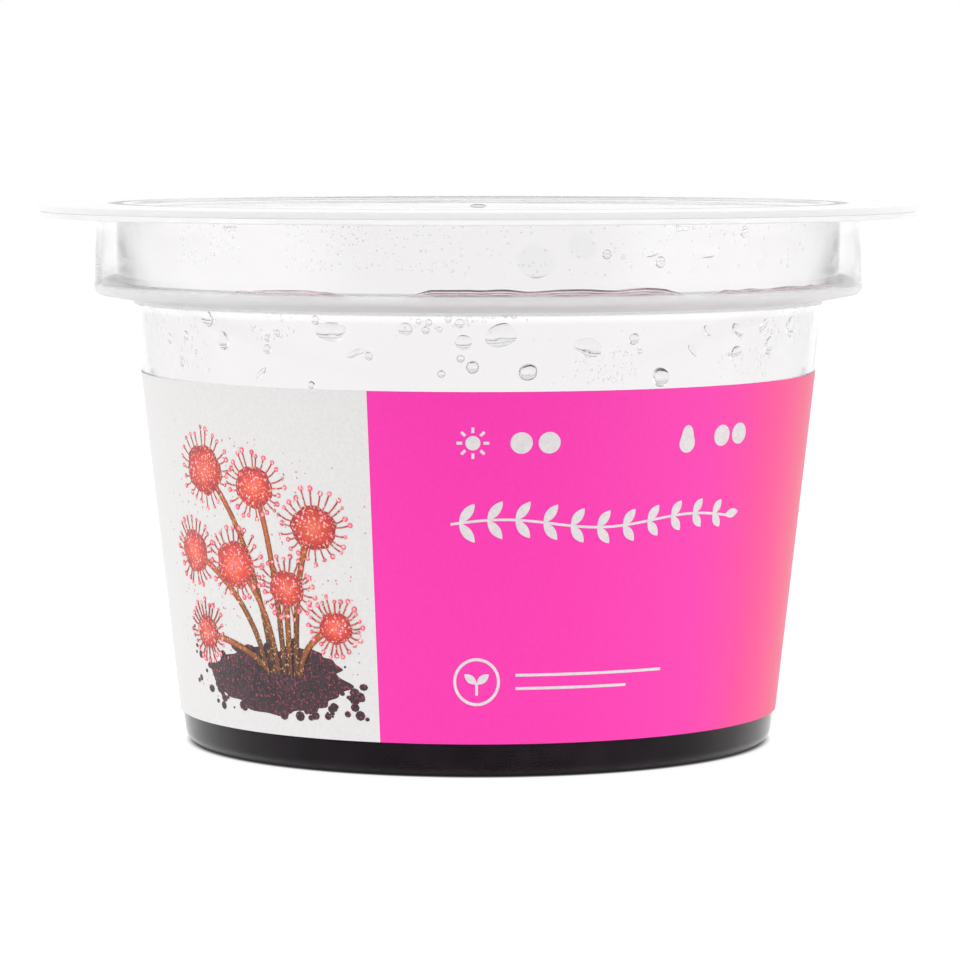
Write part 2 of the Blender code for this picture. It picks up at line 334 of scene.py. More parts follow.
def cup_profile():
    """The cup's outline, from the middle of its base round the outside and back down the inside."""
    floor = FOOT_RECESS + BASE
    contact = body_radius(0) - FOOT_FILLET
    ring_inside = contact - FOOT_RING_WIDTH
    underside = CUP_HIGH.z - FLANGE_THICKNESS
    flange = CUP_HIGH.x
    outside = [(0, FOOT_RECESS), (ring_inside - FOOT_RECESS, FOOT_RECESS), (ring_inside, 0)]
    outside += arc((contact, FOOT_FILLET), FOOT_FILLET, -90, -6)
    outside += [(body_radius(h * SHOULDER_HEIGHT), h * SHOULDER_HEIGHT) for h in (0.25, 0.5, 0.75, 1)]
    corner = (COLLAR_RADIUS - COLLAR_FILLET, SHOULDER_HEIGHT + SHOULDER_RISE + COLLAR_FILLET)
    outside += arc(corner, COLLAR_FILLET, -80, 0)
    outside += [(COLLAR_RADIUS - COLLAR_TAPER, underside)]
    outside += [(flange - EDGE_ROUND, underside), (flange, underside + EDGE_ROUND)]
    outside += [(flange, CUP_HIGH.z - SEAM_ROUND), (flange - SEAM_ROUND, CUP_HIGH.z)]
    inner_collar = COLLAR_RADIUS - COLLAR_TAPER - WALL
    inside = [(inner_collar + EDGE_ROUND, CUP_HIGH.z), (inner_collar, CUP_HIGH.z - EDGE_ROUND)]
    inside += arc(corner, COLLAR_FILLET - WALL + EDGE_ROUND, 0, -80, 4)
    step = SHOULDER_HEIGHT + WALL
    inside += [(inner_radius(step) + 2 * EDGE_ROUND, step), (inner_radius(step), step - 2 * EDGE_ROUND)]
    inside += [(inner_radius(h * MM), h * MM) for h in (41, 28, 16, *FOOT_STATIONS[::-1])]
    inside += foot_inside()
    return outside + inside + [(0, floor)]


def ramp(first, last):
    """Points of an eased slope in a profile, from (radius, height) to (radius, height)."""
    points = []
    for i in range(RAMP_STEPS + 1):
        t = i / RAMP_STEPS
        ease = t * t * (3 - 2 * t)
        points.append((first[0] + (last[0] - first[0]) * t, first[1] + (last[1] - first[1]) * ease))
    return points


def lid_profile():
    """The lid's outline, from its middle over the rim, round the skirt and back along the underside."""
    top = LID_HIGH.z
    radius = LID_HIGH.x
    underside = top - LID_THICKNESS
    seat = CUP_HIGH.z + SEAT_GAP
    inner_skirt = SKIRT_RADIUS - LID_THICKNESS
    panel = top - PANEL_STEP
    rim = [(0, panel + GATE_HEIGHT), (0.6 * GATE_RADIUS, panel + GATE_HEIGHT), (GATE_RADIUS, panel)]
    rim += [(GATE_RADIUS + CREASE, panel), (PANEL_RADIUS - CREASE, panel)]
    rim += ramp((PANEL_RADIUS, panel), (PANEL_RADIUS + PANEL_RAMP, top))
    rim += [(PANEL_RADIUS + PANEL_RAMP + CREASE, top), (radius - EDGE_ROUND, top), (radius, top - EDGE_ROUND)]
    rim += [(CUP_HIGH.x + SEAM_ROUND, seat + SEAM_ROUND), (CUP_HIGH.x, seat)]
    skirt = [(SKIRT_RADIUS + EDGE_ROUND, seat), (SKIRT_RADIUS, seat - EDGE_ROUND)]
    tip = SKIRT_RADIUS - SKIRT_DRAFT - LID_THICKNESS / 2
    skirt += arc((tip, LID_LOW.z + LID_THICKNESS / 2), LID_THICKNESS / 2, 0, -180)
    inside = [(inner_skirt, underside - 2 * EDGE_ROUND), (inner_skirt - 2 * EDGE_ROUND, underside)]
    inside += [(PANEL_RADIUS + PANEL_RAMP + CREASE, underside)]
    inside += ramp((PANEL_RADIUS + PANEL_RAMP, underside), (PANEL_RADIUS, underside - PANEL_STEP))
    inside += [(PANEL_RADIUS - CREASE, underside - PANEL_STEP)]
    return rim + skirt + inside + [(0, underside - PANEL_STEP)]


def make_shells():
    step, collar, rim = (0.990, 0.988, 0.990), (0.979, 0.975, 0.977), (0.965, 0.960, 0.963)
    # the last value of each is the painted shade where a wall is seen edge on
    cup = clear_plastic("clear_cup", (0.890, 0.882, 0.887), step, collar, rim, 0.76)
    lid = clear_plastic("clear_lid", (0.985, 0.982, 0.984), collar, collar, rim, 1.0)
    add_piece("cup_shell", turned(cup_profile()), cup, ("cup",))
    add_piece("lid_shell", turned(lid_profile()), lid, ("lid",))


GEL_TONES = ((0.3, (0.012, 0.007, 0.011)), (0.7, (0.034, 0.021, 0.030)))
GEL_MENISCUS = 0.7 * MM
GEL_DEPTH = GEL_HIGH.z - GEL_MENISCUS
GEL_SKIN = 0.02 * MM  # how far its sides reach into the plastic, so that no air shows between them


def dark_gel(name, specular, roughness, bump_height):
    """Near-black gel with brown-violet clouds of charcoal."""
    made, tree, shader = new_material(name, Specular_IOR_Level=specular, Roughness=roughness)
    plug(tree, shader.inputs["Base Color"], ramped(tree, grain(tree, 160.0, 6.0), GEL_TONES))
    bumped(tree, shader, grain(tree, 110.0), bump_height, 0.0006)
    return made


def make_gel():
    """The gel's wet, gently uneven surface, and its sides, which the wall's plastic touches without a gap."""
    floor = FOOT_RECESS + BASE
    edge = inner_radius(GEL_DEPTH)
    profile = [(0, floor - GEL_SKIN)] + foot_inside(GEL_SKIN)[::-1]
    profile += [(inner_radius(h * MM) + GEL_SKIN, h * MM) for h in FOOT_STATIONS]
    profile += [(inner_radius(GEL_HIGH.z) + GEL_SKIN, GEL_HIGH.z), (edge - 0.25 * MM, GEL_DEPTH + 0.30 * MM)]
    profile += [(edge - 0.8 * MM, GEL_DEPTH + 0.08 * MM), (edge - 1.6 * MM, GEL_DEPTH)]
    profile += [(edge * tenths / 10, GEL_DEPTH) for tenths in range(9, 0, -1)]
    profile += [(0, GEL_DEPTH)]
    bm = turned(profile)
    for vert in bm.verts:
        if vert.co.z > GEL_DEPTH - GEL_SKIN and vert.co.xy.length < edge - MM:
            vert.co.z += 0.10 * MM * noise.noise(vert.co * 160)
    gel = add_piece("gel", bm, dark_gel("gel_side", 0.0, 0.4, 0.1), ("growing_medium",))
    gel.data.materials.append(dark_gel("gel_surface", 0.5, 0.10, 0.35))
    for face in gel.data.polygons:
        if face.normal.z > 0.3 and face.center.z > GEL_DEPTH - GEL_SKIN:
            face.material_index = 1


# Label: a thin printed film on the tapered wall. Print coordinates are millimetres: u along the film from the
# front, positive to the right, and v up from the floor.
FILM_GAP = 0.02 * MM
FILM_THICKNESS = 0.12 * MM
PRINT_RADIUS = 40.0  # millimetres of film for each radian
FILM_END = math.radians(95.6) * PRINT_RADIUS
FILM_DIP = 0.2  # the film's top edge is this much lower at the front, and rises towards its ends
FILM_RISE = 0.45
FILM_CORNER = 2.6
PRINT_SPAN = 100  # millimetres of print to one unit of the film's UV map
FILM_COLUMNS = 240
FILM_ROWS = 24
PANEL_EDGE = -12.6  # the pale panel lies left of this
INK_STEP = 0.008 * MM  # each layer of print stands this much above the one under it
PANEL_COLOR = (0.716, 0.705, 0.701)
FILM_BACK = (0.83, 0.82, 0.81)
# The field's colour by u
FIELD_STOPS = (
    (PANEL_EDGE, (0.875, 0.020, 0.395)),
    (28.0, (0.875, 0.024, 0.395)),
    (34.0, (0.880, 0.026, 0.345)),
    (40.0, (0.870, 0.026, 0.265)),
    (47.0, (0.845, 0.026, 0.212)),
    (52.0, (0.780, 0.029, 0.140)),
    (FILM_END, (0.760, 0.030, 0.120)),
)


def on_film(u, v, proud=0.0):
    """A point of the print, lifted off the film's outer face by proud."""
    return at(body_radius(v * MM) + FILM_GAP + FILM_THICKNESS + proud, u / PRINT_RADIUS, v * MM)


def film_span(u):
    """Lowest and highest v of the film at u: its four corners are rounded."""
    low, high = LABEL_LOW.z / MM, LABEL_HIGH.z / MM - FILM_DIP + FILM_RISE * (u / FILM_END) ** 2
    inset = max(0.0, FILM_CORNER - (FILM_END - abs(u)))
    cut = FILM_CORNER - math.sqrt(max(0.0, FILM_CORNER**2 - inset**2))
    return low + cut, high - cut


def film_columns():
    """Places of the film's columns, closer together at its rounded corners."""
    near = [FILM_CORNER * (1 - math.cos(math.pi / 2 * i / 10)) for i in range(10)]
    span = 2 * (FILM_END - FILM_CORNER)
    middle = [-span / 2 + span * i / FILM_COLUMNS for i in range(FILM_COLUMNS + 1)]
    return [-FILM_END + d for d in near] + middle + [FILM_END - d for d in reversed(near)]


def make_film(finish):
    bm = bmesh.new()
    layer = bm.loops.layers.uv.new("print")
    rings = []
    places = {}
    for u in film_columns():
        low, high = film_span(u)
        heights = [low + (high - low) * row / FILM_ROWS for row in range(FILM_ROWS + 1)]
        ring = [bm.verts.new(on_film(u, v)) for v in heights]
        ring += [bm.verts.new(on_film(u, v, -FILM_THICKNESS)) for v in heights[::-1]]
        places.update(zip(ring, [(u, v) for v in heights + heights[::-1]]))
        rings.append(ring)
    bridge(bm, rings)
    for ring in (rings[0], rings[-1]):
        for row in range(FILM_ROWS):
            bm.faces.new((ring[row], ring[row + 1], ring[-2 - row], ring[-1 - row]))
    for face in bm.faces:
        for loop in face.loops:
            u, v = places[loop.vert]
            loop[layer].uv = (u / PRINT_SPAN + 0.5, v / PRINT_SPAN)
    add_piece("label_film", bm, finish, ("label",), smooth_angle=40)


def printed_label():
    """Satin film: a pale panel on the left, then pink that turns coral towards its right end."""
    made, tree, shader = new_material("printed_label")
    along = parts(tree, node(tree, "ShaderNodeUVMap", uv_map="print").outputs["UV"])["X"]
    reach = FILM_END / PRINT_SPAN
    share = spread(tree, along, 0.0, 1.0, 0.5 - reach, 0.5 + reach)
    field = ramped(tree, share, [((u / FILM_END + 1) / 2, color) for u, color in FIELD_STOPS])
    panel = combined(tree, "LESS_THAN", along, PANEL_EDGE / PRINT_SPAN + 0.5)
    fine = grain(tree, 2600.0)
    inked = scaled(tree, tinted(tree, panel, field, PANEL_COLOR), spread(tree, fine, 0.90, 1.08))

    # The back of the film, whose normal points towards the axis, is plain white
    normal = parts(tree, node(tree, "ShaderNodeTexCoord").outputs["Normal"])
    place = parts(tree, own_place(tree))
    east = combined(tree, "MULTIPLY", normal["X"], place["X"])
    outwards = combined(tree, "MULTIPLY_ADD", normal["Y"], place["Y"], east)
    front = combined(tree, "GREATER_THAN", outwards, 0.0)
    plug(tree, shader.inputs["Base Color"], tinted(tree, front, FILM_BACK, inked))
    plug(tree, shader.inputs["Roughness"], spread(tree, fine, 0.30, 0.46))
    bumped(tree, shader, grain(tree, 45.0, 3.0), 0.12, 0.0003)
    return made


def polar(center, radius, angle, squash=1.0):
    """A print point at a distance and an angle from another, squashed in height."""
    return (center[0] + radius * math.cos(angle), center[1] + squash * radius * math.sin(angle))


class Ink:
    """Printed shapes on the film, gathered in one mesh. Each is a closed skin a few microns thick."""

    def __init__(self):
        self.bm = bmesh.new()
        self.layer = self.bm.loops.layers.uv.new("shape")
        self.tone = self.bm.verts.layers.float.new("tone")
        self.places = {}

    def point(self, spot, lift, place, tone):
        """A corner at (u, v), lifted off the film, with its place in the shape and its tone."""
        vert = self.bm.verts.new(on_film(*spot, lift))
        vert[self.tone] = tone
        self.places[vert] = place
        return vert

    def sheet(self, rows, level, tone=0.0):
        """A shape from rows of (u, v) points, at a level of print."""
        across, along = len(rows[0]) - 1, len(rows) - 1
        rings = []
        for j, row in enumerate(rows):
            corners = [(spot, (i / across, j / along)) for i, spot in enumerate(row)]
            ring = [self.point(spot, (level + 1) * INK_STEP, place, tone) for spot, place in corners]
            ring += [self.point(spot, -INK_STEP, place, tone) for spot, place in corners[::-1]]
            rings.append(ring)
        bridge(self.bm, rings)
        for ring in (rings[0], rings[-1]):
            for i in range(across):
                self.bm.faces.new((ring[i], ring[i + 1], ring[-2 - i], ring[-1 - i]))

    def blob(self, center, radius, level, tone=0.0, around=20, wobble=None, squash=1.0):
        """A round or wavy patch: rings about a middle point, and a thin wall round the last one."""
        rounds = max(1, int(radius / 1.1) + 1)
        top = (level + 1) * INK_STEP
        outward = list(range(1, rounds + 1))
        rings = []
        for lift, count in [(top, k) for k in outward] + [(-INK_STEP, k) for k in outward[::-1]]:
            ring = []
            for i in range(around):
                angle = math.tau * i / around
                reach = radius * count / rounds * (wobble(angle) if wobble else 1.0)
                spot = polar(center, reach, angle, squash)
                ring.append(self.point(spot, lift, (0.5, count / rounds), tone))
            rings.append(ring)
        bridge(self.bm, rings)
        for ring, lift in ((rings[0], top), (rings[-1], -INK_STEP)):
            fan(self.bm, self.point(center, lift, (0.5, 0.0), tone), ring)

    def leaf(self, root, angle, length, width, level, columns=6, steps=12):
        """A leaf from its root at an angle in degrees, width at its widest."""
        turn = math.radians(angle)
        rows = []
        for j in range(steps + 1):
            t = j / steps
            half = max(0.01, width / 2 * math.sin(math.pi * t) ** 0.8)
            row = []
            for i in range(columns + 1):
                side = half * (2 * i / columns - 1)
                u = root[0] + t * length * math.cos(turn) - side * math.sin(turn)
                v = root[1] + t * length * math.sin(turn) + side * math.cos(turn)
                row.append((u, v))
            rows.append(row)
        self.sheet(rows, level)

    def line(self, points, width, level, tone=0.0):
        """A stroke of even width along (u, v) points."""
        rows = []
        for i, point in enumerate(points):
            before = Vector(points[max(0, i - 1)])
            after = Vector(points[min(len(points) - 1, i + 1)])
            step = (after - before).normalized()
            side = Vector((-step.y, step.x)) * width / 2
            rows.append([tuple(Vector(point) - side), tuple(Vector(point) + side)])
        self.sheet(rows, level, tone)

    def finish(self, name, finish):
        for face in self.bm.faces:
            for loop in face.loops:
                loop[self.layer].uv = self.places[loop.vert]
        bmesh.ops.remove_doubles(self.bm, verts=self.bm.verts, dist=1e-8)
        add_piece(name, self.bm, finish, smooth_angle=30)


# White marks on the pink field
DOT_RADIUS = 1.27
DOTS = ((4.9, 40.0), (8.1, 40.0), (31.0, 40.1), (34.0, 40.2))
SUN = (-0.6, 40.0)
SUN_RADIUS = 0.85
SUN_RAYS = 8
SUN_RAY_REACH = (1.2, 1.85)
DROP = (25.6, 39.4)
DROP_RADIUS = 1.12
SPRIG_START, SPRIG_END, SPRIG_HEIGHT = -3.2, 33.0, 30.4
SPRIG_PAIRS = 11
BADGE = (-0.2, 11.6)
BADGE_RADIUS = 2.7
RULE_START = 4.6
STROKE = 0.34


def white_ink():
    made, tree, shader = new_material("white_ink", Roughness=0.4)
    tones = ((0.25, (0.62, 0.58, 0.59)), (0.75, (0.74, 0.70, 0.71)))
    plug(tree, shader.inputs["Base Color"], ramped(tree, grain(tree, 2200.0), tones))
    return made


def make_marks():
    """Plain care signs with two dots each, a sprig and a small round sprout badge."""
    ink = Ink()
    for dot in DOTS:
        ink.blob(dot, DOT_RADIUS, 1, around=36)
    ink.blob(SUN, SUN_RADIUS, 1, around=28)
    for k in range(SUN_RAYS):
        angle = math.tau * k / SUN_RAYS
        ink.line([polar(SUN, reach, angle) for reach in SUN_RAY_REACH], STROKE, 1)

    def drop_shape(angle):
        return 1.0 + 0.95 * max(0.0, math.sin(angle)) ** 6

    ink.blob(DROP, DROP_RADIUS, 1, around=40, wobble=drop_shape)

    # The sprig: a gently waved stem with leaf pairs
    def stem(u):
        return SPRIG_HEIGHT + 0.55 * math.sin((u - SPRIG_START) * 0.26)

    steps = 60
    span = SPRIG_END - SPRIG_START
    places = [SPRIG_START + span * i / steps for i in range(steps + 1)]
    ink.line([(u, stem(u)) for u in places], 0.3, 1)
    for k in range(SPRIG_PAIRS):
        u = SPRIG_START + 1.0 + (span - 3.4) * k / (SPRIG_PAIRS - 1)
        for side in (1, -1):
            ink.leaf((u, stem(u)), side * 52, 2.9 - 0.9 * k / SPRIG_PAIRS, 1.15, 1)
    ink.leaf((SPRIG_END - 0.2, stem(SPRIG_END)), 8, 2.4, 1.1, 1)

    # The badge: a ring, a sprout in it and two thin rules beside it
    ink.line([polar(BADGE, BADGE_RADIUS, math.tau * i / 48) for i in range(49)], 0.36, 1)
    ink.line([(BADGE[0], BADGE[1] - 1.6), (BADGE[0], BADGE[1] - 0.1)], STROKE, 1)
    for angle in (38, 142):
        ink.leaf((BADGE[0], BADGE[1] - 0.25), angle, 1.9, 0.95, 1)
    for v, end in ((BADGE[1] + 0.8, 24.0), (BADGE[1] - 0.8, 19.0)):
        count = 24
        ink.line([(RULE_START + (end - RULE_START) * i / count, v) for i in range(count + 1)], STROKE, 1)
    ink.finish("label_marks", white_ink())


# Picture on the pale panel: stalks with round, dew-tipped pads that fan out of a bank of dark soil
ART_SEED = 4
ART_ROOT = (-25.0, 11.5)
# Pads: place, radius, level of print and tone
ART_PADS = (
    (-37.5, 35.6, 3.5, 4, 0.10), (-28.6, 34.0, 2.9, 5, 0.18), (-20.2, 29.5, 3.1, 6, 0.06),
    (-41.6, 25.4, 3.0, 7, 0.14), (-33.0, 24.4, 3.3, 8, 0.22), (-24.6, 22.0, 2.5, 9, 0.12),
    (-40.4, 15.6, 2.4, 10, 0.02), (-17.9, 17.6, 2.2, 11, 0.16),
)
ART_TENTACLES = 24
ART_SOIL = (-28.6, 10.6)
ART_MOUND = (-23.5, 12.6)
ART_LEFT = -44.5
ART_GRAINS = 240
ART_SPECKS = 240
# Inks of each kind of shape: root, middle, tip and speckles
SOIL_INKS = ((0.010, 0.006, 0.011), (0.022, 0.010, 0.018), (0.050, 0.016, 0.028), (0.30, 0.045, 0.06))
STALK_INKS = ((0.10, 0.030, 0.020), (0.42, 0.11, 0.020), (0.70, 0.10, 0.05), (0.60, 0.34, 0.10))
PAD_INKS = ((0.86, 0.165, 0.110), (0.70, 0.060, 0.030), (0.36, 0.020, 0.040), (0.88, 0.42, 0.30))
DEW_INKS = ((0.86, 0.50, 0.50), (0.80, 0.16, 0.22), (0.70, 0.06, 0.10), (0.90, 0.70, 0.66))


def art_material(name, base, middle, tip, speck):
    """Printed leaf or soil: a colour from root to tip, broken by fine speckles."""
    made, tree, shader = new_material(name, Roughness=0.4)
    place = parts(tree, node(tree, "ShaderNodeUVMap", uv_map="shape").outputs["UV"])
    along = combined(tree, "ADD", place["Y"], spread(tree, grain(tree, 700.0, 4.0), -0.28, 0.28))
    color = ramped(tree, along, ((0.0, base), (0.55, middle), (1.0, tip)))

    # Darker towards the shape's two edges
    edge = spread(tree, combined(tree, "PINGPONG", place["X"], 0.5), 0.45, 1.12, 0.0, 0.4)
    tone = node(tree, "ShaderNodeAttribute", attribute_name="tone").outputs["Fac"]
    lit = combined(tree, "MULTIPLY", edge, combined(tree, "ADD", tone, 0.75))
    specks = spread(tree, grain(tree, 3400.0, 1.0), 0.0, 1.0, 0.58, 0.68)
    plug(tree, shader.inputs["Base Color"], tinted(tree, specks, scaled(tree, color, lit), speck))
    return made


def art_stalk(place):
    """Points of a stalk that leaves the soil upwards and arches over to its pad."""
    start = Vector((ART_ROOT[0] + 0.22 * (place[0] - ART_ROOT[0]), ART_ROOT[1]))
    end = Vector(place[:2])
    lift = Vector((start.x + 0.15 * (end.x - start.x), start.y + 0.75 * (end.y - start.y)))
    points = []
    for i in range(17):
        t = i / 16
        points.append(tuple(start * (1 - t) ** 2 + lift * 2 * t * (1 - t) + end * t**2))
    return points


def make_art():
    rng = random.Random(ART_SEED)
    soil = Ink()
    phases = [rng.uniform(0, math.tau) for _ in range(6)]

    def ragged(angle):
        return 1.0 + sum(0.05 / (1 + 0.4 * k) * math.sin((3 * k + 4) * angle + phases[k]) for k in range(6))

    soil.blob(ART_SOIL, 11.4, 1, around=110, wobble=ragged, squash=0.34)
    soil.blob(ART_MOUND, 5.6, 2, tone=0.1, around=80, wobble=ragged, squash=0.42)
    for _ in range(ART_GRAINS):
        shift = rng.gauss(0, 1)
        place = (ART_SOIL[0] + 8.2 * shift, 10.4 + rng.gauss(0, 2.1) - 0.25 * abs(shift))
        if ART_LEFT < place[0] < PANEL_EDGE - 1.2 and 6.4 < place[1] < 16:
            size = rng.uniform(0.15, 0.75)
            soil.blob(place, size, 3, tone=rng.uniform(-0.1, 0.7), around=8, squash=rng.uniform(0.7, 1))
    soil.finish("label_art_soil", art_material("print_soil", *SOIL_INKS))

    stalks = Ink()
    for pad in ART_PADS:
        stalks.line(art_stalk(pad), 0.8, pad[3] - 1, tone=pad[4])
    stalks.finish("label_art_stalks", art_material("print_stalk", *STALK_INKS))

    pads = Ink()
    dew = Ink()
    for u, v, radius, level, tone in ART_PADS:
        turn = rng.uniform(0, math.tau)

        def dented(angle, turn=turn):
            return 1 + 0.035 * math.sin(5 * angle + turn) + 0.025 * math.sin(11 * angle + 2 * turn)

        pads.blob((u, v), radius, level, tone, around=44, wobble=dented, squash=0.86)
        for k in range(ART_TENTACLES):
            angle = math.tau * (k + rng.uniform(-0.25, 0.25)) / ART_TENTACLES
            root = (u + 0.9 * radius * math.cos(angle), v + 0.78 * radius * math.sin(angle))
            reach = rng.uniform(1.3, 2.3) * (0.75 + radius / 14)
            tip = (root[0] + reach * math.cos(angle), root[1] + reach * math.sin(angle) + 0.25)
            middle = ((root[0] + tip[0]) / 2, (root[1] + tip[1]) / 2 - 0.12)
            pads.line([root, middle, tip], 0.17, level, tone)
            dew.blob(tip, rng.uniform(0.20, 0.36), level + 1, tone=rng.uniform(0, 0.4), around=10)
        for _ in range(int(7 * radius)):
            angle = rng.uniform(0, math.tau)
            place = polar((u, v), radius * 0.86 * math.sqrt(rng.random()), angle, 0.84)
            dew.blob(place, rng.uniform(0.12, 0.24), level + 1, tone=rng.uniform(0, 0.4), around=8)
    for _ in range(ART_SPECKS):
        u, v, radius, _, _ = rng.choice(ART_PADS)
        angle = rng.uniform(0, math.tau)
        place = polar((u, v), radius + rng.gauss(3.4, 1.3), angle)
        if 7 < place[1] < 43.5 and place[0] < PANEL_EDGE - 0.8:
            dew.blob(place, rng.uniform(0.05, 0.13), 1, tone=rng.uniform(-0.2, 0.2), around=6)
    pads.finish("label_art_pads", art_material("print_pad", *PAD_INKS))
    dew.finish("label_art_dew", art_material("print_dew", *DEW_INKS))


def make_label():
    make_film(printed_label())
    make_marks()
    make_art()


WATER_GAP = 0.01 * MM
# Condensation on the inner faces: degrees from the front, height and radius in millimetres, stretch, which is
# width over height, and the tilt and the contact angle in degrees
BODY_BEADS = (
    (8.0, 48.3, 1.05, 1.0, 0, 74), (31.0, 47.4, 1.17, 1.0, 0, 72), (-0.9, 48.9, 0.75, 1.0, 0, 74),
    (25.6, 52.0, 0.70, 0.95, 0, 70), (26.8, 50.5, 0.35, 1.1, 0, 66), (-2.8, 49.9, 0.46, 1.0, 0, 72),
    (-5.9, 48.1, 0.46, 1.0, 0, 72), (-17.7, 50.1, 0.52, 1.0, 0, 66), (-8.3, 53.2, 0.46, 1.0, 0, 68),
    (-7.8, 54.1, 0.41, 1.0, 0, 68), (-9.4, 54.2, 0.35, 1.0, 0, 66), (-6.1, 53.3, 0.35, 1.0, 0, 66),
    (-4.7, 54.5, 0.41, 1.0, 0, 66), (-2.9, 54.0, 0.58, 1.0, 0, 62), (-2.3, 51.8, 0.93, 1.1, -20, 50),
    (-11.6, 53.3, 0.81, 1.15, 0, 50), (-26.7, 54.2, 0.58, 1.0, 0, 66), (-24.1, 52.9, 1.50, 1.5, 0, 46),
    (-36.1, 51.9, 0.47, 1.0, 0, 62), (-36.3, 50.6, 0.59, 1.0, 10, 64), (-34.0, 52.5, 0.47, 1.1, 0, 62),
    (3.6, 52.6, 1.62, 1.35, 0, 52), (17.8, 51.1, 1.40, 1.6, -8, 44), (4.3, 55.0, 0.35, 1.0, 0, 66),
    (5.6, 54.9, 0.35, 1.0, 0, 66), (-19.9, 50.4, 0.75, 3.2, 16, 52), (-38.0, 47.7, 0.60, 2.6, 38, 56),
    (-62.2, 51.2, 0.60, 0.8, 0, 60), (-56.2, 51.7, 0.60, 0.9, 0, 60), (-58.5, 48.6, 0.60, 0.8, 30, 60),
    (-45.9, 51.4, 1.00, 0.8, 20, 54), (-49.3, 54.0, 1.19, 1.3, 0, 48), (39.9, 52.7, 0.60, 2.2, -50, 56),
    (46.9, 52.6, 0.90, 2.0, -35, 50), (37.0, 50.4, 0.60, 3.0, -48, 54), (46.7, 50.0, 0.95, 1.5, 20, 50),
    (53.7, 53.0, 0.80, 1.8, 35, 54), (55.9, 50.5, 1.00, 0.8, 0, 50), (63.0, 52.6, 1.10, 0.6, 10, 50),
    (-28.1, 46.5, 0.47, 1.0, 0, 62),
)
SKIRT_BEADS = (
    (19.4, 62.0, 0.58, 1.0, 0, 74), (28.2, 61.0, 0.70, 1.0, 0, 74), (15.5, 63.0, 1.60, 1.3, -20, 4),
    (8.6, 61.2, 2.10, 1.1, -10, 6), (-40.5, 65.2, 1.00, 1.3, 0, 12), (44.2, 64.3, 0.71, 1.0, 0, 40),
    (32.1, 65.2, 0.94, 1.4, 0, 34), (26.8, 62.4, 1.00, 1.8, 12, 5), (36.9, 62.1, 1.10, 2.2, 10, 5),
    (22.0, 61.7, 0.30, 1.0, 0, 66),
)
# Fields of fine beads: lowest and highest degrees, lowest and highest height, count, largest radius
BODY_FIELDS = (
    (15.5, 26.5, 46.8, 51.2, 120, 0.16), (-74.0, -50.0, 47.5, 55.0, 90, 0.32),
    (-40.0, -30.0, 51.8, 55.0, 46, 0.26), (-13.0, 1.0, 53.4, 55.2, 40, 0.22),
    (43.0, 58.0, 46.8, 50.4, 46, 0.24), (-2.0, 8.0, 54.2, 55.2, 16, 0.24),
    (50.0, 76.0, 50.5, 55.0, 50, 0.34), (-28.0, 30.0, 46.6, 55.0, 60, 0.10),
)
SKIRT_FIELDS = (
    (-30.0, -2.0, 60.0, 65.4, 190, 0.20), (-52.0, -38.0, 60.5, 65.4, 50, 0.26),
    (-4.0, 34.0, 59.4, 65.4, 120, 0.18), (34.0, 62.0, 60.0, 65.6, 60, 0.28),
)
FIELD_CONTACT = math.radians(62)
WATER_SEED = 21


def clear_water(name, tint):
    made, tree, shader = new_material(name, Transmission_Weight=1.0, IOR=1.33, Roughness=0.0)
    tremble = grain(tree, 900.0)
    bumped(tree, shader, tremble, 0.05, 0.0001)
    plug(tree, shader.inputs["Base Color"], tinted(tree, tremble, tint, (1.0, 1.0, 1.0)))
    return made


def on_body_inside(azimuth, height, lift):
    """A point on the tapered wall's inner face, lifted towards the axis: radians and metres."""
    return at(inner_radius(height) - lift, azimuth, height)


def on_skirt_inside(azimuth, height, lift):
    """A point on the inner face of the lid's skirt, which tapers to its tip."""
    top, tip = LID_HIGH.z - LID_THICKNESS, LID_LOW.z + LID_THICKNESS / 2
    radius = SKIRT_RADIUS - LID_THICKNESS - SKIRT_DRAFT * (top - height) / (top - tip)
    return at(radius - lift, azimuth, height)


def under_panel(azimuth, radius, lift):
    """A point on the underside of the lid's panel, at a radius."""
    return at(radius, azimuth, LID_HIGH.z - LID_THICKNESS - PANEL_STEP - lift)


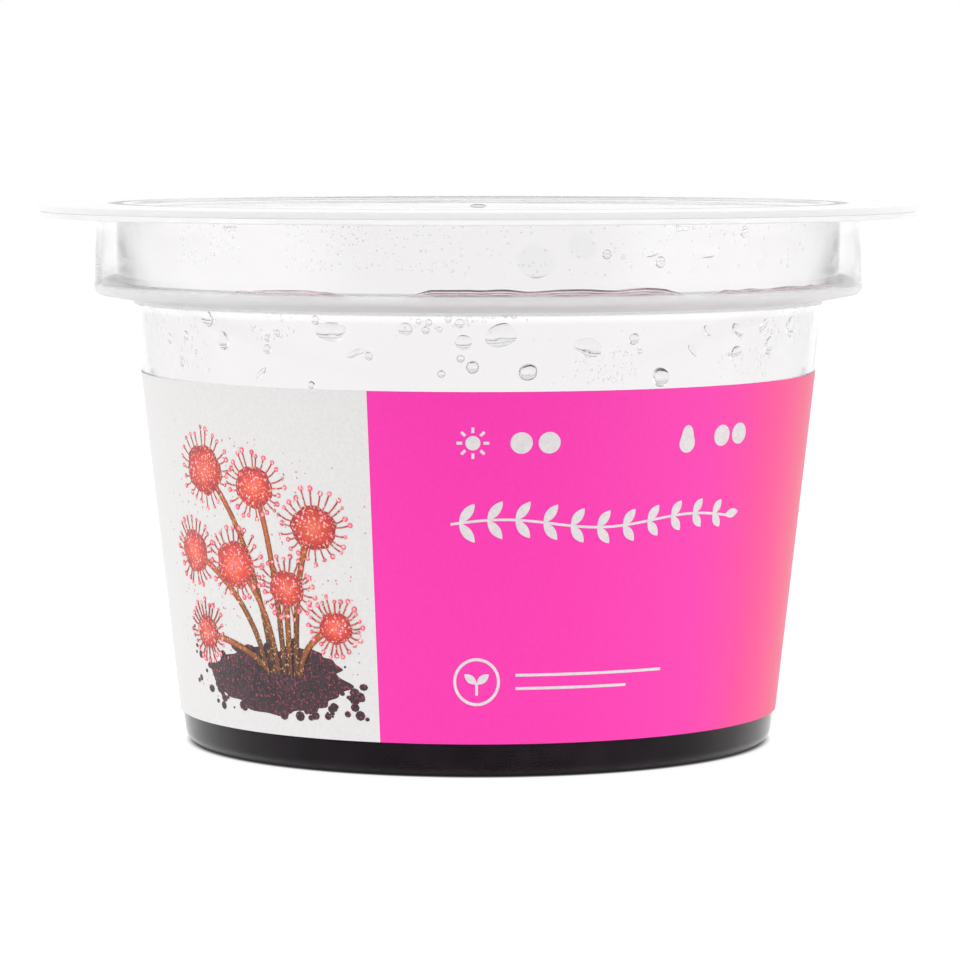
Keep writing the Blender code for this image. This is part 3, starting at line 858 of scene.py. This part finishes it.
def add_bead(bm, face, azimuth, place, size, stretch, tilt, contact, rng, around=24, rings=6):
    """A drop on a face: a cap that meets it at the contact angle, with an uneven outline that sags."""
    reach = face(0, place, 0).xy.length
    phases = [rng.uniform(0, math.tau) for _ in range(3)]
    uneven = 0.012 if size < 0.9 * MM else 0.05
    if stretch > 1.25 or stretch < 0.85:
        uneven = 0.07
    sag = 0.10 * min(1.0, size / MM)
    dome = 1 / math.sin(contact)

    def ring_at(share, rise):
        """Corners round the drop at a share of its outline, this high over the face."""
        ring = []
        for i in range(around):
            angle = math.tau * i / around
            edge = 1 + uneven * sum(math.sin((m + 2) * angle + phases[m]) / (m + 1) for m in range(3))
            across = share * edge * size * math.cos(angle) * math.sqrt(stretch)
            upward = share * edge * size * math.sin(angle) / math.sqrt(stretch)
            along = across * math.cos(tilt) - upward * math.sin(tilt)
            up = across * math.sin(tilt) + upward * math.cos(tilt) - sag * size * (1 - share)
            height = WATER_GAP + rise * size / max(1.0, math.sqrt(stretch))
            ring.append(bm.verts.new(face(azimuth + along / reach, place + up, height)))
        return ring

    shares = [math.sin(math.pi / 2 * k / rings) for k in range(1, rings + 1)]
    upper = [ring_at(share, math.sqrt(dome**2 - share**2) - dome * math.cos(contact)) for share in shares]
    under = [ring_at(share, 0.0) for share in shares[:-1]]
    bridge(bm, upper + under[::-1])
    top = WATER_GAP + dome * (1 - math.cos(contact)) * size
    for ring, height in ((upper[0], top), (under[0], WATER_GAP)):
        fan(bm, bm.verts.new(face(azimuth, place - sag * size, height)), ring)


def add_field(bm, face, low, high, bottom, top, count, largest, rng):
    """Fine beads strewn between two azimuths and two heights, clear of each other."""
    kept = []
    for _ in range(count):
        azimuth = math.radians(rng.uniform(low, high))
        place = rng.uniform(bottom, top) * MM
        size = largest * MM * rng.uniform(0.35, 1.0) ** 1.5
        spot = face(azimuth, place, 0)
        if any((spot - other).length < 1.15 * (size + far) for other, far in kept):
            continue
        kept.append((spot, size))
        stretch = rng.uniform(0.9, 1.15)
        add_bead(bm, face, azimuth, place, size, stretch, 0, FIELD_CONTACT, rng, around=10, rings=3)


# Water standing on the step, round the foot of the lid's skirt: radius and height in millimetres round its
# cross-section, first the free surface from the collar's wall inwards, then back along the step
GROOVE_TOP = (
    (47.16, 58.15), (46.7, 57.8), (46.0, 57.72), (45.4, 57.88), (45.10, 58.15), (45.06, 57.6),
    (44.92, 57.18), (44.68, 57.02), (44.44, 57.16), (44.30, 57.45), (43.8, 57.2), (43.25, 56.8),
    (42.9, 56.4),
)
GROOVE_BOTTOM = (
    (42.70, 56.04), (43.5, 56.14), (44.5, 56.27), (45.5, 56.40), (46.5, 56.52), (46.95, 56.60),
    (47.14, 56.74), (47.21, 57.0),
)
STEP_FACE = 56.04  # height of the step's face at its inner edge
STEP_EDGE = 42.6
STEP_SLOPE = 0.127
GROOVE_BEND = 56.62  # the cross-section's corner at the collar's wall starts here
# Pools: first and last degrees from the front, and how full
GROOVE_POOLS = (
    (-39.0, -19.0, 0.80), (-10.5, 31.0, 1.0), (36.0, 66.0, 0.72),
    (118.0, 151.0, 0.8), (196.0, 238.0, 0.9),
)
GROOVE_STEP = 0.75  # degrees


def step_height(radius):
    """Height of the step's face in millimetres, just above the plastic."""
    return STEP_FACE + STEP_SLOPE * max(0.0, radius - STEP_EDGE)


def add_pool(bm, first, last, fill):
    """A curved pool whose depth swells and sinks along its length and runs out at its ends."""
    count = int((last - first) / GROOVE_STEP)
    rings = []
    for i in range(count + 1):
        degrees = first + (last - first) * i / count
        end = min(1.0, min(i, count - i) / 5)
        depth = fill * math.sqrt(end) * (0.90 + 0.22 * noise.noise(Vector((degrees * 0.22, 3.7, 0))))
        depth = min(1.0, max(0.04, depth))
        ring = [(r, step_height(r) + (z - step_height(r)) * depth) for r, z in GROOVE_TOP]
        for radius, height in GROOVE_BOTTOM:
            above = height - GROOVE_BEND
            ring.append((radius, GROOVE_BEND + above * (depth if above > 0 else 1)))
        rings.append([bm.verts.new(at(r * MM, math.radians(degrees), z * MM)) for r, z in ring])
    bridge(bm, rings, capped=True)


# Condensation under the lid's panel: count, smallest and largest radius in millimetres and contact angle in
# degrees
LID_BEADS = ((46, 1.0, 2.3, 36), (90, 0.45, 0.9, 44), (360, 0.12, 0.36, 55))
LID_BEADS_REACH = 40.0 * MM


def add_lid_beads(bm, rng):
    kept = []
    for count, smallest, largest, contact in LID_BEADS:
        for _ in range(count):
            azimuth = rng.uniform(0, math.tau)
            radius = LID_BEADS_REACH * math.sqrt(rng.uniform(0.02, 1.0))
            size = rng.uniform(smallest, largest) * MM
            spot = under_panel(azimuth, radius, 0)
            near = any((spot - other).length < 1.25 * (size + far) for other, far in kept)
            if near or radius + 1.3 * size > LID_BEADS_REACH:
                continue
            kept.append((spot, size))
            counts = (22, 5) if size > 0.4 * MM else (10, 3)
            stretch = rng.uniform(0.85, 1.2)
            add_bead(bm, under_panel, azimuth, radius, size, stretch, 0, math.radians(contact), rng, *counts)


def make_water():
    rng = random.Random(WATER_SEED)
    finish = clear_water("clear_water", (0.985, 0.99, 0.99))
    for name, face, beads, fields in (
        ("water_on_cup", on_body_inside, BODY_BEADS, BODY_FIELDS),
        ("water_on_lid", on_skirt_inside, SKIRT_BEADS, SKIRT_FIELDS),
    ):
        bm = bmesh.new()
        for degrees, height, size, stretch, tilt, contact in beads:
            angles = [math.radians(angle) for angle in (degrees, tilt, contact)]
            add_bead(bm, face, angles[0], height * MM, size * MM, stretch, angles[1], angles[2], rng)
        for field in fields:
            add_field(bm, face, *field, rng)
        if face is on_skirt_inside:
            add_lid_beads(bm, rng)
        add_piece(name, bm, finish, smooth_angle=40)
    pools = bmesh.new()
    for pool in GROOVE_POOLS:
        add_pool(pools, *pool)
    # the pools' pink tint is painted reflection of the pink label in the clear water
    pink_reflection_water = clear_water("water_with_painted_pink", (0.97, 0.74, 0.84))
    add_piece("water_on_step", pools, pink_reflection_water, smooth_angle=50)


# Sundew rosettes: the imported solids' own rule and seed, so each fine leaf lies where its plain one does
ROSETTE_SEED = 11
ROSETTE_LEAVES = 17
GOLDEN_ANGLE = math.radians(137.508)
STEM_RADIUS = 0.9 * MM
STEM_DEPTH = 4.5 * MM
CROWN_RADIUS = 1.5 * MM
CROWN_HEIGHT = 2.3 * MM
CROWN_LIFT = 0.4 * MM
CROWN_SIDES = 20
CROWN_TONE = 0.35  # the crown's colour is that of a leaf at this share of its length
OLDEST_LEAF = 11.2 * MM
YOUNGEST_LEAF = 4.4 * MM
LEAF_THICKNESS = 0.65 * MM
LEAF_MODEL_LENGTH = 10 * MM
MIDDLE_ROSETTE_SCALE = 1.08
RING_ROSETTES = 5
RING_RADIUS = 23.6 * MM
# Along a leaf: share of its length, half width, rise and share of the thickness, for a leaf 10 mm long
LEAF_STATIONS = (
    (0.00, 0.50, 0.00, 0.95), (0.23, 0.46, 0.38, 0.90), (0.46, 0.55, 0.70, 0.80),
    (0.57, 0.88, 0.73, 0.85), (0.68, 1.30, 0.68, 1.00), (0.77, 1.58, 0.60, 1.00),
    (0.84, 1.65, 0.50, 1.00), (0.90, 1.52, 0.40, 0.95), (0.95, 1.20, 0.30, 0.85),
    (0.985, 0.72, 0.24, 0.60), (1.00, 0.15, 0.22, 0.25),
)
LEAF_STEPS = 26
LEAF_AROUND = 16
HAIR_SEED = 5
MARGIN_HAIRS = 26
FACE_HAIRS = 20
HAIR_RADIUS = 0.05 * MM
HAIR_STEPS = 3
HAIR_SIDES = 4
DEW_RADIUS = 0.15 * MM
DEW_SIDES = 7


def leaf_section(share):
    """Half width, rise and thickness share at a place along a leaf, eased between the stations."""
    for here, there in zip(LEAF_STATIONS, LEAF_STATIONS[1:]):
        if share <= there[0]:
            t = (share - here[0]) / (there[0] - here[0])
            return [a + (b - a) * t for a, b in zip(here[1:], there[1:])]
    return LEAF_STATIONS[-1][1:]


def leaf_point(length, share, across):
    """A point of the leaf's middle surface: across runs from -1 to 1 between its margins."""
    scale = length / LEAF_MODEL_LENGTH
    half_width, rise, _ = leaf_section(share)
    half = half_width * MM * (0.35 + 0.65 * scale)
    return Vector((share * length, across * half, rise * MM * scale + 0.22 * half * across**2))


def leaf_turn(azimuth, pitch, lift):
    """Turns a leaf that lies along X to its azimuth, pitches it up and lifts it."""
    turn = Matrix.Rotation(azimuth, 4, "Z") @ Matrix.Rotation(-pitch, 4, "Y")
    return Matrix.Translation((0, 0, lift)) @ turn


def add_leaf(bm, along, length, place, rng):
    """A dished spoon with a midrib, rounded margins and a slightly puckered surface."""
    rings = []
    offset = Vector((rng.uniform(0, 9), rng.uniform(0, 9), rng.uniform(0, 9)))
    for step in range(LEAF_STEPS + 1):
        share = step / LEAF_STEPS
        share = share + 0.10 * math.sin(math.tau * share) / math.tau  # closer steps towards the tip
        share = min(1.0, max(0.0, share))
        thickness = LEAF_THICKNESS * leaf_section(share)[2]
        ring = []
        for i in range(LEAF_AROUND):
            angle = math.tau * i / LEAF_AROUND
            across, side = math.cos(angle), math.sin(angle)
            point = leaf_point(length, share, across)
            swell = math.copysign(abs(side) ** 0.75, side) * thickness / 2
            rib = 0.10 * MM * math.exp(-((across / 0.16) ** 2)) * min(1.0, 2 * share)
            point.z += swell - (rib if side > 0 else 0)
            point.z += 0.05 * MM * noise.noise(point * 1400 + offset)
            vert = bm.verts.new(place @ point)
            vert[along] = share
            ring.append(vert)
        rings.append(ring)
    bridge(bm, rings, capped=True)


def ring_across(bm, center, ahead, radius, count, place):
    """A ring of corners round a point, square to a direction."""
    side = ahead.orthogonal().normalized()
    other = ahead.cross(side)
    ring = []
    for i in range(count):
        angle = math.tau * i / count
        outward = side * math.cos(angle) + other * math.sin(angle)
        ring.append(bm.verts.new(place @ (center + outward * radius)))
    return ring


def add_hair(bm, root, tip, bend, place):
    """A tentacle: a thin tapering stalk on a bent line."""
    middle = (root + tip) / 2 + bend
    rings = []
    for k in range(HAIR_STEPS + 1):
        t = k / HAIR_STEPS
        spot = root * (1 - t) ** 2 + middle * 2 * t * (1 - t) + tip * t**2
        ahead = ((middle - root) * (1 - t) + (tip - middle) * t).normalized()
        rings.append(ring_across(bm, spot, ahead, HAIR_RADIUS * (1.25 - 0.6 * t), HAIR_SIDES, place))
    bridge(bm, rings, capped=True)


def add_dew(bm, center, ahead, size, place):
    """A drop of mucilage on a tentacle's tip, a little longer than wide."""
    rings = []
    for degrees in (-42, 4, 48):
        angle = math.radians(degrees)
        middle = center + ahead * math.sin(angle) * size * 1.15
        rings.append(ring_across(bm, middle, ahead, math.cos(angle) * size, DEW_SIDES, place))
    bridge(bm, rings)
    for ring, reach in ((rings[0], -1.25), (rings[-1], 1.1)):
        fan(bm, bm.verts.new(place @ (center + ahead * size * reach)), ring)


def grow_hairs(hairs, dew, length, place, rng):
    """Tentacles round the blade's margin, longest at its tip, and shorter ones on its face."""
    scale = 0.4 + 0.6 * length / OLDEST_LEAF
    for k in range(MARGIN_HAIRS + FACE_HAIRS):
        margin = k < MARGIN_HAIRS
        if margin:
            share = 1.0 - 0.42 * (abs(2 * (k + 0.5) / MARGIN_HAIRS - 1)) ** 1.1
            share = min(0.995, share + rng.uniform(-0.012, 0.012))
            side = 1 if k < MARGIN_HAIRS / 2 else -1
            across = side * 0.96
        else:
            share = rng.uniform(0.60, 0.97)
            side = rng.choice((-1, 1))
            across = rng.uniform(-0.8, 0.8)
        root = leaf_point(length, share, across)
        ahead = max(0.0, (share - 0.80) / 0.20)
        if margin:
            outward = Vector((0.25 + 1.5 * ahead**2, side * (1.05 - 0.55 * ahead**2), 0.55)).normalized()
            reach = rng.uniform(1.0, 1.35) * (0.75 + 0.5 * ahead) * MM * scale
        else:
            outward = Vector((0.3 * (share - 0.75) + rng.uniform(-0.2, 0.2), 0.5 * across, 1)).normalized()
            reach = rng.uniform(0.5, 0.8) * MM * scale
            root.z += 0.25 * MM
        tip = root + outward * reach
        bend = Vector((rng.uniform(-0.1, 0.1), rng.uniform(-0.1, 0.1), rng.uniform(-0.05, 0.2))) * reach
        add_hair(hairs, root - outward * 0.1 * MM, tip, bend, place)
        add_dew(dew, tip, outward, DEW_RADIUS * rng.uniform(0.75, 1.15) * (0.7 + 0.3 * scale), place)


def crown(bm, along, place):
    """The stem in the gel and the bud that the leaves grow from."""
    profile = (
        (0.6 * STEM_RADIUS, -STEM_DEPTH),
        (STEM_RADIUS, -0.6 * STEM_DEPTH),
        (STEM_RADIUS, 0.5 * CROWN_LIFT),
        (0.9 * CROWN_RADIUS, CROWN_LIFT + 0.08 * CROWN_HEIGHT),
        (CROWN_RADIUS, CROWN_LIFT + 0.24 * CROWN_HEIGHT),
        (0.96 * CROWN_RADIUS, 0.58 * CROWN_HEIGHT),
        (0.74 * CROWN_RADIUS, 0.8 * CROWN_HEIGHT),
        (0.36 * CROWN_RADIUS, 0.96 * CROWN_HEIGHT),
    )
    rings = []
    for radius, height in profile:
        ring = []
        for i in range(CROWN_SIDES):
            angle = math.tau * i / CROWN_SIDES
            flute = 1 + 0.05 * math.cos(5 * angle + 900 * height)
            spot = Vector((radius * flute * math.cos(angle), radius * flute * math.sin(angle), height))
            vert = bm.verts.new(place @ spot)
            vert[along] = CROWN_TONE
            ring.append(vert)
        rings.append(ring)
    bridge(bm, rings, capped=True)


# Colours along a leaf, by the share of its length
LEAF_TONES = (
    (0.0, (0.085, 0.135, 0.022)),
    (0.38, (0.150, 0.205, 0.030)),
    (0.62, (0.330, 0.170, 0.030)),
    (0.82, (0.470, 0.070, 0.025)),
    (1.0, (0.360, 0.022, 0.022)),
)


def leaf_material():
    """Olive green stalks that turn orange and red in the blade, with fine pale cells and darker veins."""
    made, tree, shader = new_material(
        "sundew_leaf", Subsurface_Weight=0.15, Subsurface_Radius=(0.6, 0.3, 0.1), Subsurface_Scale=0.0006
    )
    blotch = grain(tree, 380.0, 4.0)
    along = node(tree, "ShaderNodeAttribute", attribute_name="along").outputs["Fac"]
    color = ramped(tree, combined(tree, "ADD", along, spread(tree, blotch, -0.20, 0.20)), LEAF_TONES)
    cells = node(tree, "ShaderNodeTexVoronoi", Vector=own_place(tree), Scale=2600.0).outputs["Distance"]
    plug(tree, shader.inputs["Base Color"], scaled(tree, color, spread(tree, cells, 0.85, 1.25)))
    plug(tree, shader.inputs["Roughness"], spread(tree, blotch, 0.28, 0.5))
    bumped(tree, shader, cells, 0.3, 0.0001)
    return made


def hair_material(name, low, high, roughness, transmission):
    made, tree, shader = new_material(name, Roughness=roughness, Transmission_Weight=transmission, IOR=1.36)
    plug(tree, shader.inputs["Base Color"], ramped(tree, grain(tree, 240.0), ((0.35, low), (0.65, high))))
    return made


def make_plants():
    """One rosette in the middle and a ring of them round it, with tentacles and dew on every blade."""
    foliage = leaf_material()
    rng = random.Random(ROSETTE_SEED)
    hair_rng = random.Random(HAIR_SEED)
    hairs = bmesh.new()
    dew = bmesh.new()
    places = [(1.0 * MM, -0.5 * MM)]
    for i in range(RING_ROSETTES):
        angle = math.tau * (i + 0.3) / RING_ROSETTES
        places.append((RING_RADIUS * math.cos(angle), RING_RADIUS * math.sin(angle)))
    for i, spot in enumerate(places):
        scale = MIDDLE_ROSETTE_SCALE if i == 0 else rng.uniform(0.88, 1.0)
        start = rng.uniform(0, math.tau)
        home = Matrix.Translation((*spot, GEL_DEPTH))
        bm = bmesh.new()
        along = bm.verts.layers.float.new("along")
        crown(bm, along, home)
        for k in range(ROSETTE_LEAVES):
            age = k / (ROSETTE_LEAVES - 1)
            length = scale * (OLDEST_LEAF + (YOUNGEST_LEAF - OLDEST_LEAF) * age) * rng.uniform(0.93, 1.05)
            pitch = math.radians(1 + 66 * age**1.6 + rng.uniform(0, 4))
            azimuth = start + k * GOLDEN_ANGLE + rng.uniform(-0.1, 0.1)
            place = home @ leaf_turn(azimuth, pitch, CROWN_LIFT + (0.2 + 0.35 * age) * CROWN_HEIGHT)
            add_leaf(bm, along, length, place, hair_rng)
            grow_hairs(hairs, dew, length, place, hair_rng)
        add_piece(f"sundew_leaves_{i + 1}", bm, foliage, (f"sundew_{i + 1}",), smooth_angle=60)
    stalk_finish = hair_material("sundew_hair", (0.42, 0.03, 0.03), (0.60, 0.12, 0.06), 0.45, 0.0)
    dew_finish = hair_material("sundew_dew", (0.90, 0.16, 0.14), (0.95, 0.42, 0.34), 0.04, 0.55)
    add_piece("sundew_hairs", hairs, stalk_finish, smooth_angle=75)
    add_piece("sundew_dew", dew, dew_finish, smooth_angle=75)


FLOOR_SIZE = 12.0
GLOW = 0.88  # the pale table is lit from below, less so at its sides
SIDE_GLOW = 0.70
GLOW_SIDES = (0.45, 0.80)  # distances to each side over which the glow falls
GLOW_DEPTH = 2.4  # and that far behind the cup, where it is full again
UNDER_CUP = (35.6 * MM, 37.0 * MM)  # painted contact shadow: the glow fades to almost nothing under the cup, between these radii
PAINTED_SHADOW_GLOW = 0.04
TABLE_FRONT = 0.24  # the pale table ends this far in front of the cup's axis, below the picture


def make_floor():
    """A pale table that glows, so that it is as bright as the white behind it."""
    made, tree, shader = new_material(
        "pale_floor", Base_Color=(0.15, 0.15, 0.15, 1), Roughness=0.7, Emission_Color=(1, 1, 1, 1)
    )
    middle = FLOOR_SIZE / 2 - TABLE_FRONT  # the table's middle lies this far behind the cup
    x, y, _ = parts(tree, own_place(tree))
    beside = fade(tree, combined(tree, "ABSOLUTE", x), *GLOW_SIDES, 0, 1)
    near = fade(tree, y, GLOW_DEPTH - middle, GLOW_DEPTH - middle + 0.8, 1, 0)
    dimmed = blended(tree, combined(tree, "MULTIPLY", beside, near), GLOW, SIDE_GLOW)
    away = node(tree, "ShaderNodeVectorMath", own_place(tree), (0, -middle, 0), operation="DISTANCE")
    # painted contact shadow: the floor's glow is dimmed under the cup
    shaded = fade(tree, away.outputs["Value"], *UNDER_CUP, PAINTED_SHADOW_GLOW, 1)
    plug(tree, shader.inputs["Emission Strength"], combined(tree, "MULTIPLY", dimmed, shaded))
    bpy.ops.mesh.primitive_plane_add(size=FLOOR_SIZE, location=(0, middle, 0))
    floor = bpy.context.object
    floor.name = "floor"
    floor.data.materials.append(made)


# Studio surroundings, by direction: a white belt round the horizon, a little dimmer above it and much darker
# towards the front, then a bright ceiling, and a soft box to each side. The edges are shares of a direction.
BELT_EDGE = (0.20, 0.36)
UPPER_TONE = 0.95
CEILING_TONE = 1.1
CEILING_EDGE = (0.60, 0.85)
FRONT_TONE = 0.32
FRONT_CONE = (0.50, 0.80)
SOFT_BOX = (0.95, -0.20, 0.24)
SOFT_BOX_EDGE = (0.74, 0.92)
SOFT_BOX_TONE = 1.7


def make_world():
    world = bpy.data.worlds.new("studio")
    bpy.context.scene.world = world
    world.use_nodes = True
    tree = world.node_tree
    background = tree.nodes["Background"]
    background.inputs["Color"].default_value = (1, 1, 1, 1)
    x, y, z = parts(tree, node(tree, "ShaderNodeTexCoord").outputs["Generated"])
    tone = blended(tree, fade(tree, z, *BELT_EDGE, 0, 1), 1.0, UPPER_TONE)
    tone = blended(tree, fade(tree, y, -FRONT_CONE[0], -FRONT_CONE[1], 0, 1), tone, FRONT_TONE)
    tone = blended(tree, fade(tree, z, *CEILING_EDGE, 0, 1), tone, CEILING_TONE)
    folded = node(tree, "ShaderNodeCombineXYZ", combined(tree, "ABSOLUTE", x), y, z).outputs[0]
    box = Vector(SOFT_BOX).normalized()
    toward = node(tree, "ShaderNodeVectorMath", folded, box, operation="DOT_PRODUCT").outputs["Value"]
    tone = blended(tree, fade(tree, toward, *SOFT_BOX_EDGE, 0, 1), tone, SOFT_BOX_TONE)
    plug(tree, background.inputs["Strength"], tone)


# A broad soft lamp above the camera: metres and watts. Its own shape is kept out of the reflections.
LAMP_PLACE = (0.0, -0.95, 0.75)
LAMP_SIZE = 0.7
LAMP_POWER = 4.0


def make_lamp():
    data = bpy.data.lights.new("lamp", "AREA")
    data.shape = "DISK"
    data.size = LAMP_SIZE
    data.energy = LAMP_POWER
    lamp = bpy.data.objects.new("lamp", data)
    bpy.context.scene.collection.objects.link(lamp)
    lamp.location = LAMP_PLACE
    aim = Vector((0, 0, 0.03)) - lamp.location
    lamp.rotation_euler = aim.to_track_quat("-Z", "Y").to_euler()
    lamp.visible_glossy = False
    lamp.visible_transmission = False


def make_camera():
    """A camera a little above the lid, turned down to the cup's middle, with the photograph's frame."""
    scale = MM_PER_PIXEL * MM
    eye_height = (FLOOR_Y - EYE_Y) * scale
    middle = (FLOOR_Y - IMAGE / 2) * scale
    distance = FOCAL_PIXELS * scale
    data = bpy.data.cameras.new("camera")
    data.sensor_width = SENSOR_MM
    data.lens = FOCAL_PIXELS * SENSOR_MM / IMAGE
    data.shift_x = (IMAGE / 2 - AXIS_X) / IMAGE
    camera = bpy.data.objects.new("camera", data)
    bpy.context.scene.collection.objects.link(camera)
    drop = eye_height - middle
    camera.location = (0, -math.sqrt(distance**2 - drop**2), eye_height)
    aim = Vector((0, 0, middle)) - camera.location
    camera.rotation_euler = aim.to_track_quat("-Z", "Y").to_euler()
    bpy.context.scene.camera = camera


LIGHT_BOUNCES = 24  # enough for both walls, the skirt and the drops on them
DIFFUSE_BOUNCES = 3


def set_render_look():
    scene = bpy.context.scene
    scene.view_settings.view_transform = "Standard"
    scene.view_settings.look = "None"
    for path in ("max_bounces", "transmission_bounces", "transparent_max_bounces", "glossy_bounces"):
        setattr(scene.cycles, path, LIGHT_BOUNCES)
    scene.cycles.diffuse_bounces = DIFFUSE_BOUNCES


make_camera()
make_world()
make_lamp()
set_render_look()
make_floor()
make_shells()
make_gel()
make_label()
make_water()
make_plants()
